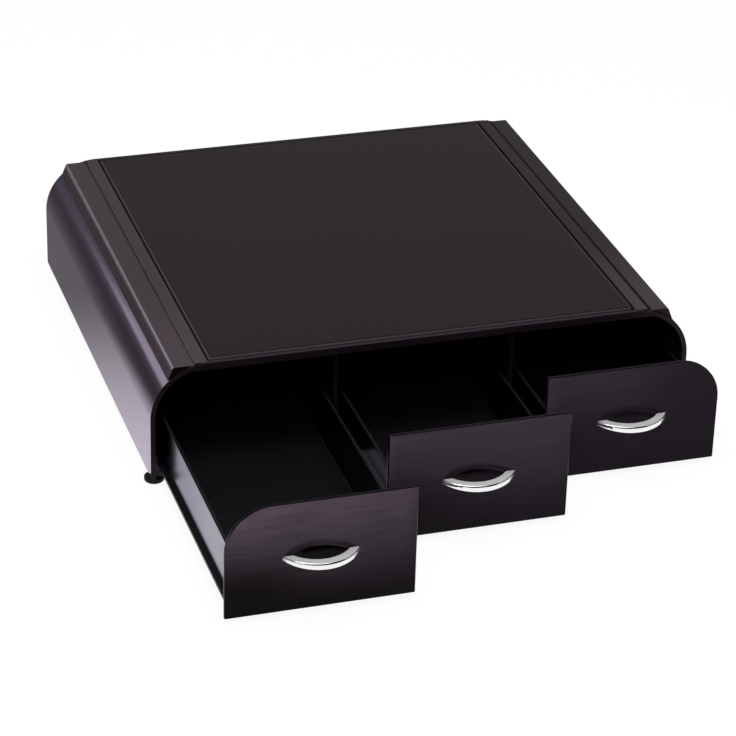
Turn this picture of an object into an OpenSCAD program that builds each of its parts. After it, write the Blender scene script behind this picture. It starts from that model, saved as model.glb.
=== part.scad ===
// Three-drawer stand for coffee pods: an arched cover with a flat deck on which
// a coffee machine stands, and three pull-out trays side by side inside it.
// Millimetres. +X right, +Y to the back, +Z up, Z = 0 on the worktop.

/* [Housing] */
// Width over the two side walls
housing_w = 350; // [300:1:420]
// Depth from the front opening to the back edge
housing_d = 310; // [260:1:360]
// Height of the flat top above the worktop
top_z = 80; // [72:0.5:100]
// Thickness of the side walls of the cover
wall_t = 3; // [2.4:0.1:4]
// Thickness of the roof along its front and back edges
roof_t = 4.6; // [4:0.1:7]
// Radius of the cover's shoulders, on the outside
shoulder_r = 35; // [25:0.5:36]
// Depth of the flange inside each side wall
flange_w = 12; // [10:0.5:16]
// Thickness of that flange
flange_t = 2.5; // [2:0.1:4]
// Width of the bevel along the foot of each side wall
wall_bevel = 0.8; // [0.3:0.1:1.2]
// Height of that bevel
wall_bevel_h = 2.2; // [1:0.1:4]

/* [Deck] */
// Depth of the seat for the rails and the inlay, below the top
seat_depth = 2.4; // [1.5:0.1:3]
// Width of the plain strip in front of the deck and behind it
lip_w = 3; // [2:0.1:8]
// Distance from the side of the housing to the inner edge of a rail
rail_w = 36.2; // [34:0.1:50]
// Distance from the side of the housing to the foot of a rail
rail_foot = 11.1; // [8:0.1:14]
// How far the side of a rail leans inwards
rail_lean = 3.4; // [1:0.1:5]
// Width of the lower, outer band of a rail
rail_band = 13; // [8:0.1:16]
// Drop of the outer band below the top
rail_drop = 1; // [0.6:0.1:2]
// Height of the inner band above the top
band_rise = 0.2; // [0:0.1:1]
// Width of the groove between the two bands
band_groove_w = 0.7; // [0.4:0.1:1.2]
// Depth of that groove below the outer band
band_groove_d = 0.6; // [0.2:0.1:1]
// Radius along the outer corner of a rail
rail_round = 1.5; // [0.8:0.1:2]
// Distance of a rail's ends from the front and the back of the cover
rail_set = 1.2; // [0.5:0.1:3]
// Height of the inlay above the top
inlay_rise = 0.9; // [0.3:0.1:3]
// Width of the groove round the inlay
groove_w = 1.3; // [0.6:0.1:3]
// Width of the bevel round the inlay
inlay_bevel = 2.2; // [1:0.1:5]
// Height of the bevel round the inlay
inlay_bevel_h = 0.8; // [0.3:0.1:1.2]

/* [Base] */
// Thickness of the base plate
base_t = 3; // [2.4:0.1:4]
// Diameter of a rubber foot
foot_d = 12.5; // [10:0.5:16]
// Height of a rubber foot, and so of the walls above the worktop
foot_h = 3; // [2:0.1:6]
// Distance of a front foot's centre from the side of the housing
foot_in = 3.5; // [2:0.1:8]
// Distance of a back foot's centre from the side of the housing
back_foot_in = 14; // [10:0.5:40]
// Distance of a foot's centre from the front or the back edge
foot_back = 6.5; // [6:0.1:12]
// Radius round the tread of a foot
foot_round = 1.2; // [0.5:0.1:1.8]
// Diameter of a base screw
base_screw_d = 3; // [2.5:0.1:3.5]
// Length of a base screw, head included
base_screw_len = 7; // [6:0.1:7.4]
// Diameter of a base screw's countersunk head
base_head_d = 5.6; // [5:0.1:7]
// Number of screws under each divider and each outer track
base_screws_each = 3; // [2:1:5]
// Distance of the first and last screw from the ends of a track
screw_end = 20; // [10:1:60]

/* [Dividers and tracks] */
// Thickness of a divider's web
divider_t = 2.4; // [1.6:0.1:4]
// Width of the ledge that carries the edge of a tray
ledge_w = 9; // [6:0.5:14]
// Height of the side guides above the underside of a tray
guide_h = 7; // [4:0.5:14]
// Thickness of the back panel
back_t = 2.4; // [1.6:0.1:4]
// Distance of the back panel from the back edge of the cover
back_set = 1.5; // [0.5:0.1:4]

/* [Drawers] */
// How far the left drawer stands open
open_left = 162; // [0:1:240]
// How far the middle drawer stands open
open_middle = 103; // [0:1:240]
// How far the right drawer stands open
open_right = 59.5; // [0:0.5:240]
// Thickness of a drawer front
front_t = 2.8; // [2:0.1:4]
// Gap between two drawer fronts
front_gap = 0.9; // [0.6:0.1:2]
// Clearance between the outer fronts and the side walls
side_clear = 0.8; // [0.5:0.1:2]
// Clearance between the fronts and the roof
head_clear = 1.2; // [0.6:0.1:2.5]
// Radius of the outer top corners of the two outer fronts
front_round = 28.4; // [24:0.1:34]
// Bevel along the edges of a front
front_bevel = 0.6; // [0.3:0.1:0.7]
// Distance from the side of a tray to the edge of its front
tray_side = 4.3; // [3:0.1:12]
// Height of a tray
tray_h = 34; // [20:0.5:50]
// Height of the underside of a tray above the worktop
tray_z = 11; // [10:0.1:14]
// Thickness of the tray's walls and floor
tray_t = 2; // [1.4:0.1:3]
// Width of the runner along each side of a tray's floor
runner_w = 2.6; // [1:0.1:3]
// Gap between a closed tray and the back panel
tray_end_gap = 6; // [1:0.5:20]
// Radius along a tray's lower edges, on the inside
tray_round = 2; // [1:0.1:6]
// Travel of a drawer between its stops
travel = 250; // [200:1:255]
// Width of the stop under a tray and of the stop on the base
stop_w = 40; // [20:1:60]
// Thickness of each stop, front to back
stop_t = 3; // [2:0.1:5]

/* [Handles] */
// Width of a handle where it meets the front
handle_w = 46; // [36:0.5:60]
// How far a handle stands out of the front
handle_reach = 13.5; // [12:0.5:24]
// Depth of the bar at its middle
handle_bar = 6.5; // [4:0.1:8]
// Width of each end of a handle on the front
handle_foot = 7.5; // [6:0.1:9]
// Height of the bar at its middle
handle_h = 4.3; // [4:0.1:8]
// How much lower the bar is at its ends
handle_taper = 0.9; // [0.3:0.1:1.2]
// Height of the top of a handle above the worktop
handle_z = 40; // [30:0.5:42]
// Diameter of a handle screw
handle_screw_d = 2; // [1.6:0.1:2.2]
// Diameter of a handle screw's head
handle_head_d = 4.2; // [3.5:0.1:5]
// Height of a handle screw's head
handle_head_h = 1.4; // [1:0.1:2]
// How deep a handle screw goes into the handle
handle_bite = 3; // [2:0.1:3.5]

/* [Clearances] */
// Running clearance between moving pieces
slide_clear = 0.4; // [0.3:0.05:0.6]
// Clearance of a piece that is fitted inside the cover
fit_clear = 0.1; // [0.05:0.05:0.3]
// Clearance on the diameter of a screw in its hole
screw_clear = 0.2; // [0.1:0.05:0.4]

/* [Hidden] */
$fn = 96;

LEFT = -1;
MIDDLE = 0;
RIGHT = 1;
far = 1000;

// the origin is the middle of the whole part's footprint
reach_left = open_left + handle_reach;
reach_middle = open_middle + handle_reach;
reach_right = open_right + handle_reach;
front_y = -(housing_d - max(reach_left, reach_middle, reach_right)) / 2;

// housing
half_w = housing_w / 2;
inner_half = half_w - wall_t;
inner_top = top_z - roof_t;
seat_z = top_z - seat_depth;
base_top = foot_h + base_t;
flange_top = base_top + flange_t;
inside_front = front_t + slide_clear;
back_front = housing_d - back_set - back_t;
rail_inner = half_w - rail_w;

// drawers, in the frame of a closed drawer whose front face lies at y = 0
front_w = (2 * inner_half - 2 * side_clear - 2 * front_gap) / 3;
bay_pitch = front_w + front_gap;
front_top = inner_top - head_clear;
tray_w = front_w - 2 * tray_side;
tray_gap = side_clear + tray_side;
tray_len = back_front - tray_end_gap - front_t;
floor_top = tray_z + tray_t;
ledge_top = tray_z - slide_clear;
guide_top = tray_z + guide_h;
stop_bottom = base_top + 1;
stop_top = tray_z - 1.5;
tray_stop_y = front_t + tray_len - stop_t;
base_stop_y = tray_stop_y - travel - slide_clear - stop_t;

// handles
handle_half = handle_w / 2;
foot_inner = handle_half - handle_foot;
grip_reach = handle_reach - handle_bar;
outer_r = arc_radius(handle_half, handle_reach);
inner_r = arc_radius(foot_inner, grip_reach);
under_r = arc_radius(handle_half, handle_taper);
handle_screw_x = handle_half - handle_foot / 2;
handle_screw_z = handle_z - (handle_h - handle_taper) / 2;
handle_screw_len = front_t + tray_t + handle_bite;

// radius of an arc from half its chord and its rise
function arc_radius(half_chord, rise) = (half_chord * half_chord + rise * rise) / (2 * rise);

// height of the cover's outside at a distance x from the middle
function shell_z(x) = top_z - shoulder_r
    + sqrt(shoulder_r * shoulder_r - pow(x - (half_w - shoulder_r), 2));

// how far a drawer stands open
function opening(bay) = bay == LEFT ? open_left : bay == MIDDLE ? open_middle : open_right;

// places along the depth of the base where its screws stand
function screw_rows() = [for (i = [0:base_screws_each - 1])
    inside_front + screw_end + i * (back_front - inside_front - 2 * screw_end) / (base_screws_each - 1)];

// distances of the four screw lines from the middle
track_screw_x = inner_half - flange_w / 2;
divider_x = bay_pitch / 2;
screw_lines = [-track_screw_x, -divider_x, divider_x, track_screw_x];

// ---------- helpers ----------

// puts a piece of the housing in the part's frame
module housed() {
    translate([0, front_y, 0]) children();
}

// puts a piece of a drawer in the part's frame, as far open as that drawer is
module drawn(bay) {
    translate([bay * bay_pitch, front_y - opening(bay), 0]) children();
}

// extrudes an outline drawn in X and Z along Y, from y to y + len
module along_y(y, len) {
    translate([0, y + len, 0]) rotate([90, 0, 0]) linear_extrude(len) children();
}

// extrudes an outline drawn in Y and Z along X, from x to x + len
module along_x(x, len) {
    translate([x, 0, 0]) rotate([90, 0, 90]) linear_extrude(len) children();
}

// outline of an arch with a flat top, straight sides and round shoulders
module arch(half, bottom, top, r) {
    translate([-half, bottom]) square([2 * half, top - r - bottom]);
    translate([r - half, bottom]) square([2 * (half - r), top - bottom]);
    for (s = [-1, 1]) translate([s * (half - r), top - r]) intersection() {
        circle(r);
        translate([-r, -r / 2]) square([2 * r, 3 * r / 2]);
    }
}

// outline of the room inside the cover, less a clearance
module inner_arch(bottom, clear) {
    intersection() {
        arch(inner_half - clear, bottom, top_z - wall_t - clear, shoulder_r - wall_t - clear);
        translate([-half_w, bottom]) square([housing_w, inner_top - clear - bottom]);
    }
}

// ---------- housing ----------

module cover_shell() color("#3d343a") {
    difference() {
        along_y(0, housing_d) difference() {
            arch(half_w, foot_h, top_z, shoulder_r);
            inner_arch(foot_h - 1, 0);
        }
        translate([-rail_inner, lip_w, seat_z])
            cube([2 * rail_inner, housing_d - 2 * lip_w, far]);
        for (s = [-1, 1]) translate([s > 0 ? rail_inner : -half_w, rail_set, seat_z])
            cube([half_w - rail_inner, housing_d - 2 * rail_set, far]);
        for (s = [-1, 1]) along_y(-1, housing_d + 2) polygon([
            [s * (half_w - 2 * wall_bevel), foot_h - wall_bevel_h],
            [s * (half_w + wall_bevel), foot_h + 2 * wall_bevel_h],
            [s * (half_w + wall_bevel), foot_h - wall_bevel_h]]);
    }
    for (s = [-1, 1]) difference() {
        translate([s > 0 ? inner_half - flange_w : -inner_half - wall_t / 2, inside_front, base_top])
            cube([flange_w + wall_t / 2, back_front - inside_front, flange_t]);
        for (y = screw_rows()) translate([s * track_screw_x, y, base_top - 1])
            cylinder(d = base_screw_d + screw_clear, h = flange_t + 2);
    }
}

// moulded rail that caps one shoulder: a lower outer band and a raised inner band
module rail() {
    foot_x = half_w - rail_foot;
    foot_z = shell_z(foot_x);
    top = top_z - rail_drop;
    corner_x = foot_x - rail_lean;
    lean = atan2(rail_lean, top - foot_z);
    round_x = corner_x - rail_round * (1 - sin(lean)) / cos(lean);
    band_x = corner_x - rail_band;
    sink = 1;
    along_y(rail_set, housing_d - 2 * rail_set) difference() {
        polygon(concat(
            [[rail_inner, seat_z - sink],
             [rail_inner, top_z + band_rise],
             [band_x - band_groove_w, top_z + band_rise],
             [band_x - band_groove_w, top - band_groove_d],
             [band_x, top - band_groove_d],
             [band_x, top]],
            [for (i = [0:8]) let (a = 90 - i / 8 * (90 - lean))
                [round_x + rail_round * cos(a), top - rail_round * (1 - sin(a))]],
            [[foot_x + sink * tan(lean), foot_z - sink],
             [foot_x - shoulder_r / 2, foot_z - sink]]));
        intersection() {
            arch(half_w, foot_h, top_z, shoulder_r);
            translate([-half_w, foot_h]) square([housing_w, seat_z - foot_h]);
        }
    }
}

module left_rail() color("#4a3f45") mirror([1, 0, 0]) rail();

module right_rail() color("#4a3f45") rail();

// outline of the inlay across one direction, bevelled along its top edges
module inlay_section(half) {
    top = top_z + inlay_rise;
    polygon([[-half, seat_z], [half, seat_z], [half, top - inlay_bevel_h],
        [half - inlay_bevel, top], [inlay_bevel - half, top], [-half, top - inlay_bevel_h]]);
}

module top_inlay() color("#2e292c") {
    half_x = rail_inner - groove_w;
    half_y = housing_d / 2 - lip_w - groove_w;
    translate([0, housing_d / 2, 0]) intersection() {
        along_y(-half_y, 2 * half_y) inlay_section(half_x);
        along_x(-half_x, 2 * half_x) inlay_section(half_y);
    }
}

module back_panel() color("#2a2528")
    along_y(back_front, back_t) inner_arch(base_top, fit_clear);

// ---------- base ----------

module base_plate() color("#1b191b") {
    difference() {
        translate([fit_clear - inner_half, inside_front, foot_h])
            cube([2 * (inner_half - fit_clear), housing_d - back_set - inside_front, base_t]);
        for (x = screw_lines, y = screw_rows()) translate([x, y, foot_h]) {
            translate([0, 0, -1]) cylinder(d = base_screw_d + screw_clear, h = base_t + 2);
            screw_cone(screw_clear);
        }
    }
    for (bay = [LEFT, MIDDLE, RIGHT])
        translate([bay * bay_pitch - stop_w / 2, base_stop_y, base_top - 1])
            cube([stop_w, stop_t, stop_top - base_top + 1]);
}

// countersunk head, widest at z = 0
module screw_cone(clear) {
    cone_h = (base_head_d - base_screw_d) / 2;
    cylinder(d1 = base_head_d + clear, d2 = base_screw_d + clear, h = cone_h);
}

module base_screws() color("silver")
    for (x = screw_lines, y = screw_rows()) translate([x, y, foot_h]) difference() {
        union() {
            screw_cone(0);
            cylinder(d = base_screw_d, h = base_screw_len);
        }
        translate([0, 0, -1]) linear_extrude(1 + base_t / 4)
            for (turn = [0, 90]) rotate(turn)
                square([base_head_d * 0.6, base_screw_d / 4], center = true);
    }

// round rubber pad with a rounded tread
module foot() {
    rotate_extrude() {
        translate([0, foot_round]) square([foot_d / 2, foot_h - foot_round]);
        square([foot_d / 2 - foot_round, foot_h]);
        translate([foot_d / 2 - foot_round, foot_round]) intersection() {
            circle(foot_round);
            translate([0, -foot_round]) square(foot_round);
        }
    }
}

module feet() color("#141214")
    for (s = [-1, 1]) {
        translate([s * (half_w - foot_in), foot_back, 0]) foot();
        translate([s * (half_w - back_foot_in), housing_d - back_set - foot_back, 0]) foot();
    }

// ---------- dividers and tracks ----------

// holes for the base screws up into a divider or a track
module screw_holes(x) {
    for (y = screw_rows()) translate([x, y, foot_h])
        cylinder(d = base_screw_d + screw_clear, h = base_screw_len + screw_clear);
}

// web between two bays, with a guide and a ledge for a tray on each side
module divider(side) {
    guide_half = front_gap / 2 + tray_side - runner_w - slide_clear;
    ledge_half = front_gap / 2 + tray_side + ledge_w;
    difference() {
        translate([side * divider_x, 0, 0]) along_y(inside_front, back_front - inside_front) {
            translate([-divider_t / 2, base_top]) square([divider_t, inner_top - base_top]);
            translate([-guide_half, base_top]) square([2 * guide_half, guide_top - base_top]);
            translate([-ledge_half, base_top]) square([2 * ledge_half, ledge_top - base_top]);
        }
        screw_holes(side * divider_x);
    }
}

module left_divider() color("#232023") divider(LEFT);

module right_divider() color("#232023") divider(RIGHT);

// guide and ledge along one side wall, on the flange of the cover
module outer_track() {
    outer = inner_half - fit_clear;
    guide = inner_half - tray_gap + runner_w + slide_clear;
    ledge = inner_half - tray_gap - ledge_w;
    difference() {
        along_y(inside_front, back_front - inside_front) {
            translate([guide, flange_top]) square([outer - guide, guide_top - flange_top]);
            translate([ledge, flange_top]) square([outer - ledge, ledge_top - flange_top]);
        }
        screw_holes(track_screw_x);
    }
}

module left_track() color("#232023") mirror([1, 0, 0]) outer_track();

module right_track() color("#232023") outer_track();

// ---------- drawers ----------

// outline of the room in a tray across its width, with round lower edges
module tray_room(half, r) {
    translate([-half, floor_top + r]) square([2 * half, tray_h]);
    translate([r - half, floor_top]) square([2 * (half - r), tray_h]);
    for (s = [-1, 1]) translate([s * (half - r), floor_top + r]) circle(r);
}

module tray() color("#38343a") {
    half = tray_w / 2;
    difference() {
        along_y(front_t, tray_len) {
            translate([-half, tray_z]) square([2 * half, tray_h]);
            translate([-half - runner_w, tray_z]) square([2 * (half + runner_w), tray_t]);
        }
        along_y(front_t + tray_t, tray_len - 2 * tray_t) tray_room(half - tray_t, tray_round);
        handle_screw_bores(handle_screw_d + screw_clear);
    }
    translate([-stop_w / 2, tray_stop_y, stop_bottom])
        cube([stop_w, stop_t, floor_top - stop_bottom - tray_t / 2]);
}

// outline of a drawer front in X and Z, drawn in by inset; one top corner may be large
module front_outline(bay, inset) {
    small = 0.8;
    half = front_w / 2;
    hull() for (x = [-1, 1], top = [false, true]) {
        r = top && x == bay ? front_round : small;
        translate([x * (half - r), top ? front_top - r : foot_h + r]) circle(r - inset);
    }
}

module front(bay) color("#332b31") difference() {
    hull() {
        along_y(front_bevel, front_t - 2 * front_bevel) front_outline(bay, 0);
        along_y(0, front_t) front_outline(bay, front_bevel);
    }
    handle_screw_bores(handle_screw_d + screw_clear);
}

// bow handle: two arcs in plan, with an underside that rises towards the ends
module handle() color("#d8dade") difference() {
    intersection() {
        translate([0, 0, handle_z - handle_h]) linear_extrude(handle_h) difference() {
            translate([0, outer_r - handle_reach]) circle(outer_r, $fn = 180);
            translate([0, inner_r - grip_reach]) circle(inner_r, $fn = 180);
            translate([-far / 2, 0]) square(far);
        }
        along_y(-handle_reach - 1, handle_reach + 2)
            translate([0, handle_z - handle_h + under_r]) circle(under_r, $fn = 720);
    }
    handle_screw_bores(handle_screw_d + screw_clear / 2);
}

// cuts the two screw bores through the tray's front wall, the front and into the handle
module handle_screw_bores(d) {
    for (s = [-1, 1]) translate([s * handle_screw_x, -handle_bite - screw_clear, handle_screw_z])
        rotate([-90, 0, 0]) cylinder(d = d, h = handle_bite + screw_clear + front_t + tray_t + 1);
}

module handle_screws() color("silver")
    for (s = [-1, 1]) translate([s * handle_screw_x, front_t + tray_t, handle_screw_z])
        rotate([90, 0, 0]) {
            cylinder(d = handle_screw_d, h = handle_screw_len);
            difference() {
                translate([0, 0, -handle_head_h]) cylinder(d = handle_head_d, h = handle_head_h);
                translate([0, 0, -handle_head_h - 1]) linear_extrude(1 + handle_head_h / 2)
                    for (turn = [0, 90]) rotate(turn)
                        square([handle_head_d * 0.6, handle_screw_d / 4], center = true);
            }
        }

housed() cover_shell();
housed() left_rail();
housed() right_rail();
housed() top_inlay();
housed() back_panel();
housed() base_plate();
housed() left_divider();
housed() right_divider();
housed() left_track();
housed() right_track();
housed() base_screws();
housed() feet();
drawn(LEFT) tray();  // left_tray
drawn(MIDDLE) tray();  // middle_tray
drawn(RIGHT) tray();  // right_tray
drawn(LEFT) front(LEFT);  // left_front
drawn(MIDDLE) front(MIDDLE);  // middle_front
drawn(RIGHT) front(RIGHT);  // right_front
drawn(LEFT) handle();  // left_handle
drawn(MIDDLE) handle();  // middle_handle
drawn(RIGHT) handle();  // right_handle
drawn(LEFT) handle_screws();  // left_handle_screws
drawn(MIDDLE) handle_screws();  // middle_handle_screws
drawn(RIGHT) handle_screws();  // right_handle_screws
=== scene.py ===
import math

import bmesh
import bpy
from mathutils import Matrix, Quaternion, Vector


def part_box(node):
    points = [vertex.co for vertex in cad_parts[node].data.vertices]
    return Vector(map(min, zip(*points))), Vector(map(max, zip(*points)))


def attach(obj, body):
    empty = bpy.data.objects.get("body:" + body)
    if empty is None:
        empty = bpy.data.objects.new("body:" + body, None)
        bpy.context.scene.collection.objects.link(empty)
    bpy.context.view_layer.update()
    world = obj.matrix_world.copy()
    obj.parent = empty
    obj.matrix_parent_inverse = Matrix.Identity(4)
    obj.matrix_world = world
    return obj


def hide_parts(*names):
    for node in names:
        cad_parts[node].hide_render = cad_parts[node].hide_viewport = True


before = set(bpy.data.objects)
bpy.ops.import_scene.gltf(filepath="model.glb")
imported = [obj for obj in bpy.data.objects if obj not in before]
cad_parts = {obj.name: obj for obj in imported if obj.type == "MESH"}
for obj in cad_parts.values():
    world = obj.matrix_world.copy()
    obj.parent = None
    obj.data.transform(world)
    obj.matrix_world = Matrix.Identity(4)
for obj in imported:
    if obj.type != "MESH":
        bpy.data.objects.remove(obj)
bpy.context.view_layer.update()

# ---- Camera --------------------------------------------------------------
# A long lens from above, a little to the left of the open drawers, as a
# catalogue picture of such a stand is taken.

LENS_MM = 144.8
SENSOR_MM = 36
CAMERA_PLACE = Vector((-0.5313, -1.5933, 0.9201))
CAMERA_TURN = math.radians(-17.92)
CAMERA_DIP = math.radians(-28.11)
CAMERA_ROLL = math.radians(1.66)

camera = bpy.data.objects.new("camera", bpy.data.cameras.new("camera"))
camera.data.lens = LENS_MM
camera.data.sensor_width = SENSOR_MM
looking = Vector((-math.sin(CAMERA_TURN) * math.cos(CAMERA_DIP),
                  math.cos(CAMERA_TURN) * math.cos(CAMERA_DIP),
                  math.sin(CAMERA_DIP)))
camera.location = CAMERA_PLACE
camera.rotation_mode = "QUATERNION"
camera.rotation_quaternion = (looking.to_track_quat("-Z", "Y")
                              @ Quaternion((0, 0, 1), CAMERA_ROLL))
bpy.context.collection.objects.link(camera)
bpy.context.scene.camera = camera
bpy.context.scene.view_settings.view_transform = "Standard"

# ---- Floor and light -----------------------------------------------------
# White paper under the stand. One broad soft box hangs over it, one stands in
# front and a small one behind its left side, in a plain white world.


class Value:
    """An output of a shader node. Python's operators add Math nodes behind it."""

    def __init__(self, nodes, socket):
        self.nodes = nodes
        self.socket = socket

    def math(self, operation, first, second):
        return self.nodes.node("ShaderNodeMath", {"operation": operation},
                               {0: first, 1: second})

    def __add__(self, other):
        return self.math("ADD", self, other)

    def __radd__(self, other):
        return self.math("ADD", other, self)

    def __sub__(self, other):
        return self.math("SUBTRACT", self, other)

    def __rsub__(self, other):
        return self.math("SUBTRACT", other, self)

    def __mul__(self, other):
        return self.math("MULTIPLY", self, other)

    def __rmul__(self, other):
        return self.math("MULTIPLY", other, self)

    def __pow__(self, other):
        return self.math("POWER", self, other)

    def __abs__(self):
        return self.math("ABSOLUTE", self, 0)

    def at_least(self, other):
        return self.math("MAXIMUM", self, other)

    def rise(self, start, end):
        """0 up to start and 1 from end on, eased between them."""
        return self.nodes.node("ShaderNodeMapRange", {"interpolation_type": "SMOOTHSTEP"}, {
            "Value": self, "From Min": start, "From Max": end})

    def band(self, start, end, fade, last_fade=None):
        """1 from start to end, eased to 0 over a fade outside each of them."""
        last_fade = fade if last_fade is None else last_fade
        return self.rise(start - fade, start) * self.rise(end + last_fade, end)

    def between(self, at_0, at_1):
        """A share of 0 to 1, stretched to run from at_0 to at_1."""
        return at_0 + (at_1 - at_0) * self


class Nodes:
    """The shader nodes of a material or of the world."""

    def __init__(self, tree):
        self.tree = tree

    def node(self, kind, settings=None, inputs=None, output=0):
        made = self.tree.nodes.new(kind)
        for name, setting in (settings or {}).items():
            setattr(made, name, setting)
        for socket, value in (inputs or {}).items():
            if isinstance(value, Value):
                self.link(value, made.inputs[socket])
            else:
                made.inputs[socket].default_value = value
        return Value(self, made.outputs[output])

    def link(self, value, socket):
        self.tree.links.new(value.socket, socket)


class Finish(Nodes):
    """A procedural material: one Principled shader and the nodes that feed it."""

    def __init__(self, name, colour, roughness, **constants):
        self.material = bpy.data.materials.new(name)
        self.material.use_nodes = True
        super().__init__(self.material.node_tree)
        self.shader = self.tree.nodes["Principled BSDF"]
        self.fed = {}
        constants.update(Base_Color=(*colour, 1), Roughness=roughness)
        for socket, constant in constants.items():
            self.input(socket).default_value = constant

    def input(self, name):
        return self.shader.inputs[name.replace("_", " ")]

    def feed(self, **values):
        self.fed.update(values)
        for name, value in values.items():
            self.link(value, self.input(name))

    def noise(self, scale, detail, stretch=(1, 1, 1)):
        place = self.node("ShaderNodeTexCoord", output="Object")
        spread = self.node("ShaderNodeMapping", inputs={"Vector": place, "Scale": stretch})
        return self.node("ShaderNodeTexNoise", inputs={
            "Vector": spread, "Scale": scale, "Detail": detail})

    def along(self, axis, source="Object"):
        """The place along an axis of the part in metres, or the lean of its "Normal"."""
        vector = self.node("ShaderNodeTexCoord", output=source)
        return self.node("ShaderNodeSeparateXYZ", inputs={0: vector}, output=axis)

    def tint(self, low, high, amount):
        """A blend of two colours, each written out or taken from a node."""
        low, high = (end if isinstance(end, Value) else (*end, 1) for end in (low, high))
        return self.node("ShaderNodeMix", {"data_type": "RGBA"},
                         {0: amount, 6: low, 7: high}, output=2)

    def bump(self, height, depth, strength, under=None):
        inputs = {"Height": height, "Distance": depth, "Strength": strength}
        if under is not None:
            inputs["Normal"] = under
        return self.node("ShaderNodeBump", inputs=inputs)


def as_object(shape, name, mesh_name=None):
    """The finished bmesh as a mesh object."""
    made = bpy.data.objects.new(name, bpy.data.meshes.new(mesh_name or name))
    shape.to_mesh(made.data)
    shape.free()
    return made


PAPER = (0.86, 0.86, 0.86)
PAPER_SIZE = 6
GLOW_SHARE = 0.84
GLOW_STRENGTH = 1.08
SHEEN_FRONT = -0.06
SHEEN_BACK = 0.22
SHEEN_LEAST = 0.2

paper = Finish("paper", PAPER, roughness=0.9)
paper_grain = paper.noise(scale=400, detail=3)
paper.feed(Roughness=paper_grain.between(0.85, 0.95))
seen = paper.node("ShaderNodeLightPath", output="Is Camera Ray")
mirrored = paper.node("ShaderNodeLightPath", output="Is Glossy Ray")
# In reflections the paper glows as a painted pool of light, brightest in front and fading
# towards the back.
sheen = paper.along("Y").rise(SHEEN_FRONT, SHEEN_BACK).between(1, SHEEN_LEAST)
glow = paper.node("ShaderNodeEmission", inputs={
    "Strength": GLOW_STRENGTH * seen + mirrored * sheen})
lit = paper.node("ShaderNodeMixShader", inputs={
    0: GLOW_SHARE * seen + mirrored, 1: Value(paper, paper.shader.outputs[0]), 2: glow})
paper.link(lit, paper.tree.nodes["Material Output"].inputs["Surface"])

shape = bmesh.new()
bmesh.ops.create_grid(shape, x_segments=1, y_segments=1, size=PAPER_SIZE)
floor = as_object(shape, "floor")
floor.data.materials.append(paper.material)
bpy.context.collection.objects.link(floor)


def soft_box(name, place, aim, size, power, in_mirrors=True):
    lamp = bpy.data.objects.new(name, bpy.data.lights.new(name, "AREA"))
    lamp.visible_camera = False
    lamp.visible_glossy = in_mirrors
    lamp.data.shape = "RECTANGLE"
    lamp.data.size, lamp.data.size_y = size
    lamp.data.energy = power
    lamp.location = place
    lamp.rotation_mode = "QUATERNION"
    lamp.rotation_quaternion = (Vector(aim) - Vector(place)).to_track_quat("-Z", "Y")
    bpy.context.collection.objects.link(lamp)


soft_box("top_light", place=(-0.2, -0.35, 1.9), aim=(0, -0.1, 0),
         size=(1.6, 1.2), power=19)
soft_box("front_light", place=(-0.8, -1.7, 1.4), aim=(0, -0.1, 0),
         size=(1.2, 0.9), power=6, in_mirrors=False)
soft_box("back_light", place=(-1.13, 1.5, 0.48), aim=(-0.15, 0, 0.05),
         size=(0.36, 0.45), power=1.1)

# A black flag in front of the handles, which only polished surfaces see.

FLAG_PLACE = Vector((0.1, -0.8, 0.62))
FLAG_AIM = Vector((0, -0.18, 0.04))
FLAG_SIZE = 0.7

flag_felt = Finish("flag_felt", (0, 0, 0), roughness=1, Specular_IOR_Level=0)
shape = bmesh.new()
bmesh.ops.create_grid(shape, x_segments=1, y_segments=1, size=FLAG_SIZE)
bmesh.ops.rotate(shape, verts=shape.verts,
                 matrix=(FLAG_AIM - FLAG_PLACE).to_track_quat("-Z", "Y").to_matrix())
bmesh.ops.translate(shape, verts=shape.verts, vec=FLAG_PLACE)
flag = as_object(shape, "flag")
flag.data.materials.append(flag_felt.material)
flag.visible_camera = False
flag.visible_diffuse = False
flag.visible_shadow = False
bpy.context.collection.objects.link(flag)

# The world is white to the camera and only a weak fill to the part.

WORLD_FILL = 0.3
WORLD_SEEN = 1

world = bpy.data.worlds.new("studio")
bpy.context.scene.world = world
world.use_nodes = True
sky = world.node_tree.nodes["Background"]
sky.inputs["Color"].default_value = (1, 1, 1, 1)
sky_nodes = Nodes(world.node_tree)
sky_seen = sky_nodes.node("ShaderNodeLightPath", output="Is Camera Ray")
sky_nodes.link(sky_seen.between(WORLD_FILL, WORLD_SEEN), sky.inputs["Strength"])

# ---- Cover ---------------------------------------------------------------
# The arched cover is one injection moulding in plum-black plastic. Its outer
# skin is polished, most of all on the side walls and least along the front of
# the deck, and every edge is broken.

MOULD_EDGE = 0.0005
SHARP_ANGLE = math.radians(14)
FLAT_ANGLE = math.radians(0.5)
SAME_PLACE = 1e-6
END_EDGE = 0.0001
END_FACE = 0.0005
GLOSS_SPREAD = 0.04
SWEEP_DEPTH = 0.0002
PLUM_SHINE = (1, 0.83, 0.95, 1)
LILAC_SHINE = (0.92, 0.79, 1, 1)


def moulded(node, body, finish, edge=MOULD_EDGE):
    """A piece that keeps a node's shape and rounds its sharp edges, as a mould does."""
    shape = bmesh.new()
    shape.from_mesh(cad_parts[node].data)
    bmesh.ops.remove_doubles(shape, verts=shape.verts, dist=SAME_PLACE)
    bmesh.ops.dissolve_limit(shape, angle_limit=FLAT_ANGLE, verts=shape.verts,
                             edges=shape.edges, delimit={"NORMAL"})
    piece = as_object(shape, node + "_moulded", node)
    finished(piece, body, finish, edge)
    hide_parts(node)


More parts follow.
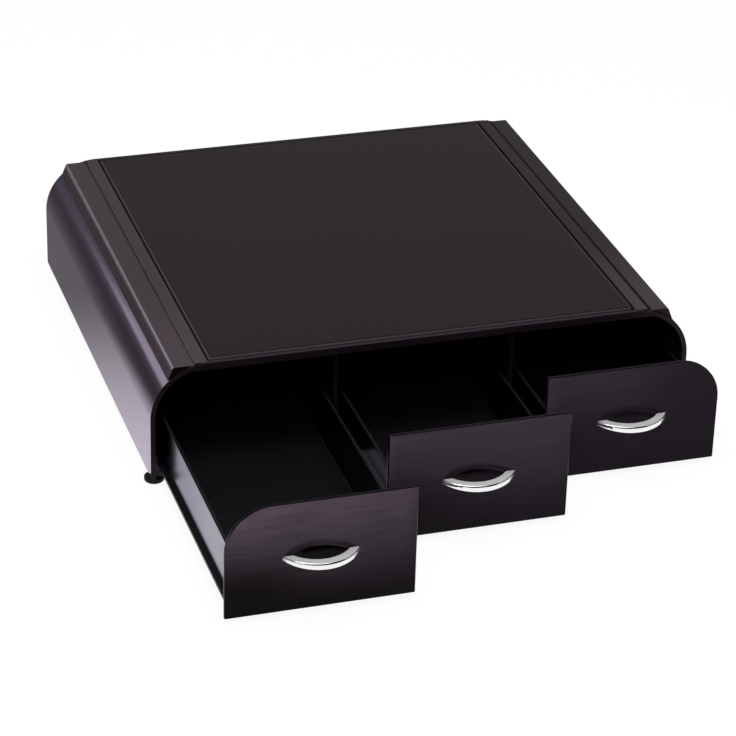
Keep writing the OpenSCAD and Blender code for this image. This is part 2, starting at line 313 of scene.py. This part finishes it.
def finished(piece, body, finish, edge=0):
    """Smooth shading, a small radius along the sharp edges, a material and a body."""
    for face in piece.data.polygons:
        face.use_smooth = True
    piece.data.materials.append(finish.material)
    bpy.context.collection.objects.link(piece)
    if edge:
        rounding = piece.modifiers.new("edges", "BEVEL")
        rounding.width = edge
        rounding.segments = 2
        rounding.limit_method = "ANGLE"
        rounding.angle_limit = SHARP_ANGLE
    flat = piece.modifiers.new("flat_faces", "WEIGHTED_NORMAL")
    flat.keep_sharp = True
    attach(piece, body)


def plastic(name, low, high, roughness, grain_depth, shine=PLUM_SHINE, **constants):
    """Moulded plastic: faint cloudiness, uneven gloss and a fine spark-eroded grain."""
    finish = Finish(name, high, roughness, Specular_Tint=shine, **constants)
    cloud = finish.noise(scale=14, detail=3)
    grain = finish.noise(scale=2600, detail=2)
    sweep = finish.noise(scale=9, detail=1)
    finish.feed(Base_Color=finish.tint(low, high, cloud),
                Roughness=cloud.between(roughness - GLOSS_SPREAD, roughness + GLOSS_SPREAD),
                Normal=finish.bump(grain, grain_depth, strength=0.4,
                                   under=finish.bump(sweep, SWEEP_DEPTH, strength=0.3)))
    return finish


def polish(finish, where, colour, roughness):
    """A skin that the mould left smooth enough to mirror the room, where `where` is 1."""
    finish.feed(Base_Color=finish.tint(finish.fed["Base_Color"], colour, where),
                Metallic=where,
                Roughness=finish.fed["Roughness"] * (1 - where) + roughness * where)


def past_end(finish, end):
    """0 on the front end of a long moulding and 1 behind it."""
    return finish.along("Y").rise(end + END_EDGE, end + END_FACE)


SHOULDER_X = 0.14
SHOULDER_Z = 0.045
SKIN_INSIDE = 0.0335
SKIN_FADE = 0.0006
WALL_TOP = 0.062
WALL_GLOSSY = 0.05
DECK_COAT = 0.25
WALL_COAT = 0.7
COVER_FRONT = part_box("cover_shell")[0][1]
LIP_BACK = COVER_FRONT + 0.009
LIP_FADE = 0.001
LIP_END = 0.002
LIP_GLOSS = 0.35

cover_plastic = plastic("cover_plastic", low=(0.012, 0.007, 0.010), high=(0.018, 0.011, 0.015),
                        roughness=0.4, grain_depth=0.00002, shine=LILAC_SHINE,
                        Specular_IOR_Level=0.15, Coat_Roughness=0.12, Coat_IOR=1.9)
out_x = (abs(cover_plastic.along("X")) - SHOULDER_X).at_least(0)
out_z = (cover_plastic.along("Z") - SHOULDER_Z).at_least(0)
on_skin = ((out_x ** 2 + out_z ** 2) ** 0.5).rise(SKIN_INSIDE, SKIN_INSIDE + SKIN_FADE)
on_wall = cover_plastic.along("Z").rise(WALL_TOP, WALL_GLOSSY)
on_lip = cover_plastic.along("Y").rise(LIP_BACK, LIP_BACK - LIP_FADE) * out_x.rise(LIP_END, 0)
polished = on_skin * past_end(cover_plastic, COVER_FRONT) * on_lip.between(1, LIP_GLOSS)
polish(cover_plastic, polished, colour=(0.056, 0.046, 0.062), roughness=0.17)
cover_plastic.feed(Coat_Weight=polished * on_wall.between(DECK_COAT, WALL_COAT))
moulded("cover_shell", "housing", cover_plastic)

# ---- Rails ---------------------------------------------------------------
# One long plum-black moulding caps each shoulder and is bonded to the cover. Its
# outer band lies lower than the inner one. A painted highlight runs along the left
# rail's outer corner and its line; painted shade darkens the right rail's line,
# the front ends and the rails towards the back, the right one most.

RAIL_SHADE = (0.003, 0.002, 0.003)
RAIL_STEP_HIGHLIGHT = (0.06, 0.045, 0.053)
RAIL_CORNER_HIGHLIGHT = (0.3, 0.26, 0.305)
RAIL_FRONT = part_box("left_rail")[0][1]
RAIL_CORNER = 0.1605
CORNER_FADE = 0.001
HIGHLIGHT_HALF = 0.0005
HIGHLIGHT_FADE = 0.0006
RAIL_LINE = 0.1475
LINE_FADE = 0.0002
LINE_LAST_FADE = 0.0004
STEP_HIGHLIGHT_WIDTH = 0.0008
SHADE_INWARD = 0.0009
SHADE_OUTWARD = 0.0018
MIDDLE_FADE = 0.01
DIM_FROM = -0.06
DIM_FULL = 0.05
LEFT_DIM = 0.71
RIGHT_LOSS_BACK = 0.45
RIGHT_LOSS_FRONT = 0.22
FLANK_COAT = 0.14
TOP_COAT = 0.7

rail_plastic = plastic("rail_plastic", low=(0.034, 0.017, 0.025), high=(0.048, 0.025, 0.037),
                       roughness=0.36, grain_depth=0.00003,
                       Specular_IOR_Level=0.2, Coat_Roughness=0.16, Coat_IOR=1.7)
rail_x = rail_plastic.along("X")
# Painted shade: the rails grow darker towards the back, the right one most.
near_front = rail_plastic.along("Y").rise(DIM_FULL, DIM_FROM)
on_right = rail_x.rise(-MIDDLE_FADE, MIDDLE_FADE)
rail_level = (near_front.between(LEFT_DIM, 1)
              - on_right * near_front.between(RIGHT_LOSS_BACK, RIGHT_LOSS_FRONT))
on_top = abs(rail_x).rise(RAIL_CORNER + CORNER_FADE, RAIL_CORNER)
behind_end = past_end(rail_plastic, RAIL_FRONT)
# Painted highlight: a light, metal-like strip along the left rail's outer corner.
corner_highlight = behind_end * rail_x.band(
    -RAIL_CORNER - HIGHLIGHT_HALF, -RAIL_CORNER + HIGHLIGHT_HALF, HIGHLIGHT_FADE)
# A painted highlight along the left rail's line and painted shade along the right one's.
step_highlight_line = rail_x.band(-RAIL_LINE, -RAIL_LINE + STEP_HIGHLIGHT_WIDTH, LINE_FADE)
shaded_line = rail_x.band(
    RAIL_LINE - SHADE_INWARD, RAIL_LINE + SHADE_OUTWARD, LINE_FADE, LINE_LAST_FADE)
# The colour turns to painted shade on the front ends, towards the back and on the right rail's
# line.
lit_rail = behind_end * rail_level * (1 - shaded_line)
with_step_highlight = rail_plastic.tint(rail_plastic.fed["Base_Color"], RAIL_STEP_HIGHLIGHT, step_highlight_line)
rail_plastic.feed(Base_Color=rail_plastic.tint(RAIL_SHADE, with_step_highlight, lit_rail))
polish(rail_plastic, corner_highlight, colour=RAIL_CORNER_HIGHLIGHT, roughness=0.32)
rail_plastic.feed(Metallic=corner_highlight.at_least(shaded_line),
                  Coat_Weight=lit_rail * on_top.between(FLANK_COAT, TOP_COAT))
for side in ("left", "right"):
    moulded(side + "_rail", "housing", rail_plastic)

# ---- Inlay ---------------------------------------------------------------
# The flat plum-black plate on which the machine stands, moulded in one piece. It
# lies in a groove in the deck and has a bevel all round, with a painted highlight
# at the left and in front and painted shade at the right.

INLAY_LOW = (0.010, 0.006, 0.008)
INLAY_HIGH = (0.014, 0.0085, 0.0115)
BEVEL_HIGHLIGHT = (0.05, 0.04, 0.046)
BEVEL_SHADE = (0.001, 0.001, 0.001)
INLAY_BEVEL = 0.0014
BEVEL_FADE = 0.0002
INLAY_EDGE = 0.0002

inlay_plastic = Finish("inlay_plastic", (0.012, 0.008, 0.010), roughness=0.26,
                       Specular_IOR_Level=0.2, Specular_Tint=PLUM_SHINE)
inlay_cloud = inlay_plastic.noise(scale=14, detail=3)
inlay_grain = inlay_plastic.noise(scale=2600, detail=2)
inlay_x, inlay_y = inlay_plastic.along("X"), inlay_plastic.along("Y")
inlay_low, inlay_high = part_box("top_inlay")
left_bevel = inlay_low[0] + INLAY_BEVEL
front_bevel = inlay_low[1] + INLAY_BEVEL
right_bevel = inlay_high[0] - INLAY_BEVEL
on_left_bevel = inlay_x.rise(left_bevel, left_bevel - BEVEL_FADE)
on_front_bevel = inlay_y.rise(front_bevel, front_bevel - BEVEL_FADE)
on_right_bevel = inlay_x.rise(right_bevel, right_bevel + BEVEL_FADE)
inlay_body = inlay_plastic.tint(INLAY_LOW, INLAY_HIGH, inlay_cloud)
# Painted highlight on the left and front bevels.
highlighted_bevel = inlay_plastic.tint(inlay_body, BEVEL_HIGHLIGHT, on_left_bevel.at_least(on_front_bevel))
# Painted shade on the right bevel, near black and metallic, so that it shows no shine.
inlay_plastic.feed(
    Base_Color=inlay_plastic.tint(highlighted_bevel, BEVEL_SHADE, on_right_bevel),
    Metallic=on_right_bevel,
    Roughness=inlay_cloud.between(0.22, 0.3),
    Normal=inlay_plastic.bump(inlay_grain, depth=0.00002, strength=0.4))
moulded("top_inlay", "housing", inlay_plastic, INLAY_EDGE)

# ---- Back, base, dividers and tracks -------------------------------------
# Plain black mouldings that close the housing, carry the roof and guide the
# trays. Countersunk screws of zinc-plated steel hold dividers and tracks from
# below.

INNER_EDGE = 0.0003
SCREW_EDGE = 0.0001

black_plastic = plastic("black_plastic", low=(0.004, 0.0035, 0.004), high=(0.006, 0.005, 0.006),
                        roughness=0.45, grain_depth=0.00003, Specular_IOR_Level=0.3)
for node in ("back_panel", "base_plate", "left_divider", "right_divider",
             "left_track", "right_track"):
    moulded(node, "housing", black_plastic, INNER_EDGE)

zinc = Finish("zinc", (0.6, 0.6, 0.61), roughness=0.35, Metallic=1)
zinc_grain = zinc.noise(scale=900, detail=3)
zinc.feed(Roughness=zinc_grain.between(0.28, 0.44),
          Normal=zinc.bump(zinc_grain, depth=0.00002, strength=0.3))
moulded("base_screws", "housing", zinc, SCREW_EDGE)

# ---- Feet ----------------------------------------------------------------
# Four round pads of soft rubber, stuck under the corners of the base. They are
# matt and a little rough.

FOOT_EDGE = 0.0002

rubber = Finish("rubber", (0.008, 0.008, 0.008), roughness=0.75, Specular_IOR_Level=0.3)
rubber_grain = rubber.noise(scale=1400, detail=4)
rubber.feed(Roughness=rubber_grain.between(0.68, 0.84),
            Normal=rubber.bump(rubber_grain, depth=0.00006, strength=0.6))
moulded("feet", "housing", rubber, FOOT_EDGE)

# ---- Trays ---------------------------------------------------------------
# Thin-walled black mouldings with round lower edges, which slide on a runner
# along each side. Their walls are glossy between the runner and the rim, most
# of all towards the front.

DRAWERS = ("left", "middle", "right")

STEEL_SHINE = (0.9, 0.89, 1, 1)
RUNNER_TOP = 0.0131
RUNNER_FADE = 0.0008
TRAY_RIM = 0.0445
RIM_FADE = 0.0002
GLOSS_BACK = -0.12
GLOSS_FRONT = -0.19
TRAY_COAT = 0.35

tray_plastic = plastic("tray_plastic", low=(0.006, 0.005, 0.006), high=(0.009, 0.008, 0.010),
                       roughness=0.4, grain_depth=0.00002, shine=STEEL_SHINE,
                       Specular_IOR_Level=0.2, Coat_Roughness=0.12, Coat_IOR=1.9)
tray_z = tray_plastic.along("Z")
tray_wall = (tray_z.rise(RUNNER_TOP, RUNNER_TOP + RUNNER_FADE)
             * tray_z.rise(TRAY_RIM + RIM_FADE, TRAY_RIM))
towards_front = tray_plastic.along("Y").rise(GLOSS_BACK, GLOSS_FRONT)
polish(tray_plastic, tray_wall, colour=(0.05, 0.051, 0.062), roughness=0.16)
tray_plastic.feed(Coat_Weight=TRAY_COAT * tray_wall * towards_front)
for side in DRAWERS:
    moulded(side + "_tray", side + "_drawer", tray_plastic)

# ---- Fronts --------------------------------------------------------------
# Flat plum-black plates with a fine bevel on every edge, held by the handles'
# screws. The outer two have one large corner that follows the arch of the
# cover. A painted reflection lightens their faces towards the top, most at the
# left; below it they are painted darker at the left, with painted shade behind
# each handle's bar.

FRONT_ROUND = 0.0284
ROUND_STEPS = 24
FRONT_CORNER = 0.0008
CORNER_STEPS = 4
FRONT_BEVEL = 0.0006
FRONT_MIDDLE_Z = 0.05
SIDE_REACH = 0.001
FEET_GAP = 0.0003

FRONT_DARK = (0.004, 0.003, 0.004)
FRONT_PLUM = (0.015, 0.0118, 0.017)
FRONT_PAINTED_SHEEN = (0.094, 0.071, 0.090)
HANDLE_PITCH = 0.1144
CURVE_FOOT = 0.016
CURVE_TOP = 0.082
RAMP_FOOT = 0.008
RAMP_HEIGHT = 0.074
CURVED_X = -0.045
EVEN_X = 0.01
FALLS = ((0.22, -0.16, -0.07), (0.38, -0.07, -0.05), (0.18, 0.045, 0.07), (0.14, 0.1, 0.16))
FOOT_LEFT = -0.15
FOOT_RIGHT = 0.06
FACING_FROM = -0.3
FACING_FULL = -0.8
GRIP_TOP = 0.043
GRIP_TOP_CURVE = 7.5
GRIP_FOOT = 0.031
GRIP_FOOT_CURVE = 12.5
GRIP_FADE = 0.002
BAR_SHADE_LEVEL = 0.08
METALLIC_FULL = 0.2

front_plastic = Finish("front_plastic", (0.02, 0.014, 0.017), roughness=0.15,
                       Specular_IOR_Level=0.05, Specular_Tint=PLUM_SHINE)
front_cloud = front_plastic.noise(scale=22, detail=4)
front_grain = front_plastic.noise(scale=1500, detail=3, stretch=(0.12, 1, 1))
brushing = front_plastic.noise(scale=420, detail=4, stretch=(0.1, 1, 1))
front_x, front_z = front_plastic.along("X"), front_plastic.along("Z")
from_handle = front_plastic.node("ShaderNodeMath", {"operation": "WRAP"}, {
    0: front_x, 1: HANDLE_PITCH / 2, 2: -HANDLE_PITCH / 2})
# Painted reflection: the faces lighten towards the top, and more at the left than at the right.
curved_rise = front_z.rise(CURVE_FOOT, CURVE_TOP)
even_rise = ((front_z - RAMP_FOOT) * (1 / RAMP_HEIGHT)).at_least(0)
front_height = curved_rise + (even_rise - curved_rise) * from_handle.rise(CURVED_X, EVEN_X)
front_level = 1 - sum(fall * front_x.rise(start, end) for fall, start, end in FALLS)
facing = front_plastic.along("Y", "Normal").rise(FACING_FROM, FACING_FULL)
# Painted shade behind each handle's bar, where the plate would mirror the bar.
grip_bow = abs(from_handle) ** 2
painted_bar_shade = ((GRIP_TOP - GRIP_TOP_CURVE * grip_bow - front_z).rise(0, GRIP_FADE)
              * (front_z - GRIP_FOOT - GRIP_FOOT_CURVE * grip_bow).rise(0, GRIP_FADE))
painted_sheen = (front_height * front_level * facing * front_cloud.between(0.75, 1.25)
         * brushing.between(0.65, 1.35) * painted_bar_shade.between(1, BAR_SHADE_LEVEL))
# Below the painted reflection the plates are near black, painted darker at the left.
front_foot = front_plastic.tint(FRONT_DARK, FRONT_PLUM, front_x.rise(FOOT_LEFT, FOOT_RIGHT))
front_plastic.feed(
    Base_Color=front_plastic.tint(front_foot, FRONT_PAINTED_SHEEN, painted_sheen),
    Metallic=painted_sheen.rise(0, METALLIC_FULL),
    Roughness=front_cloud.between(0.12, 0.17),
    Normal=front_plastic.bump(front_grain, depth=0.00002, strength=0.5))

for side in DRAWERS:
    low, high = (Vector(corner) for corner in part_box(side + "_front"))
    shape = bmesh.new()
    bmesh.ops.create_grid(shape, x_segments=1, y_segments=1, size=0.5)
    for corner in shape.verts:
        along, up = corner.co.x > 0, corner.co.y > 0
        corner.co = (high.x if along else low.x, low.y, high.z if up else low.z + FEET_GAP)
    for corner in list(shape.verts):
        outward = {"left": corner.co.x < low.x + SIDE_REACH, "middle": False,
                   "right": corner.co.x > high.x - SIDE_REACH}[side]
        big = outward and corner.co.z > FRONT_MIDDLE_Z
        bmesh.ops.bevel(shape, geom=[corner], affect="VERTICES", profile=0.5, material=-1,
                        offset=FRONT_ROUND if big else FRONT_CORNER,
                        segments=ROUND_STEPS if big else CORNER_STEPS)
    thick = bmesh.ops.extrude_face_region(shape, geom=shape.faces[:])
    bmesh.ops.translate(shape, vec=(0, high.y - low.y, 0),
                        verts=[v for v in thick["geom"] if isinstance(v, bmesh.types.BMVert)])
    bmesh.ops.recalc_face_normals(shape, faces=shape.faces)
    rims = [line for line in shape.edges
            if abs(line.verts[0].co.y - line.verts[1].co.y) < SAME_PLACE]
    bmesh.ops.bevel(shape, geom=rims, affect="EDGES", profile=0.5, material=-1,
                    offset=FRONT_BEVEL, segments=1)
    plate = as_object(shape, side + "_front_plate")
    finished(plate, side + "_drawer", front_plastic)
    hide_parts(side + "_front")

# ---- Handles -------------------------------------------------------------
# Chrome-plated bow handles. The bar is widest at its middle, polished in
# front and satin on top. Two screws from inside the tray hold each one.

CHROME = (0.9, 0.9, 0.91)
SATIN_CHROME = (0.7, 0.7, 0.7)
HANDLE_RISE = 0.0009
HANDLE_BAR = 0.0065
HANDLE_FOOT = 0.0075
HANDLE_STEPS = 40
HANDLE_EDGE = 0.0012
HANDLE_EDGE_STEPS = 4
HANDLE_SHARP = math.radians(40)
SEAT_REACH = 1e-5
LEVEL_WITHIN = 0.001
SATIN_BELOW = 0.03985
SATIN_ABOVE = 0.03995
SATIN_ROUGHER = 0.25

chrome = Finish("chrome", CHROME, roughness=0.07, Metallic=1)
chrome_haze = chrome.noise(scale=60, detail=2)
satin_top = chrome.along("Z").rise(SATIN_BELOW, SATIN_ABOVE)
chrome.feed(Base_Color=chrome.tint(CHROME, SATIN_CHROME, satin_top),
            Metallic=1 - satin_top,
            Roughness=chrome_haze.between(0.05, 0.1) + SATIN_ROUGHER * satin_top)


def arc(shape, half, rise, steps):
    """A bow of edges over a chord of 2 * half, standing out by rise towards -Y."""
    radius = (half * half + rise * rise) / (2 * rise)
    sweep = 2 * math.asin(half / radius)
    start = shape.verts.new((-half, 0, 0))
    bmesh.ops.spin(shape, geom=[start], cent=(0, radius - rise, 0), axis=(0, 0, 1),
                   angle=sweep, steps=steps, use_merge=False)


for side in DRAWERS:
    low, high = (Vector(corner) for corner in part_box(side + "_handle"))
    half = (high.x - low.x) / 2
    reach = high.y - low.y
    shape = bmesh.new()
    arc(shape, half, reach, HANDLE_STEPS)
    arc(shape, half - HANDLE_FOOT, reach - HANDLE_BAR, HANDLE_STEPS)
    bmesh.ops.bridge_loops(shape, edges=shape.edges)
    sunk = bmesh.ops.extrude_face_region(shape, geom=shape.faces[:])
    for corner in sunk["geom"]:
        if isinstance(corner, bmesh.types.BMVert):
            corner.co.z = low.z - high.z + HANDLE_RISE * (corner.co.x / half) ** 2
    bmesh.ops.translate(shape, verts=shape.verts, vec=((low.x + high.x) / 2, high.y, high.z))
    bmesh.ops.recalc_face_normals(shape, faces=shape.faces)
    free_edges = [line for line in shape.edges
                  if line.calc_face_angle(0) > HANDLE_SHARP
                  and min(line.verts[0].co.y, line.verts[1].co.y) < high.y - SEAT_REACH
                  and abs(line.verts[0].co.z - line.verts[1].co.z) < LEVEL_WITHIN]
    bmesh.ops.bevel(shape, geom=free_edges, affect="EDGES", profile=0.5, material=-1,
                    offset=HANDLE_EDGE, segments=HANDLE_EDGE_STEPS)
    for line in shape.edges:
        line.smooth = line.calc_face_angle(0) < HANDLE_SHARP
    bow = as_object(shape, side + "_bow")
    finished(bow, side + "_drawer", chrome)
    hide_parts(side + "_handle")
    moulded(side + "_handle_screws", side + "_drawer", zinc, SCREW_EDGE)
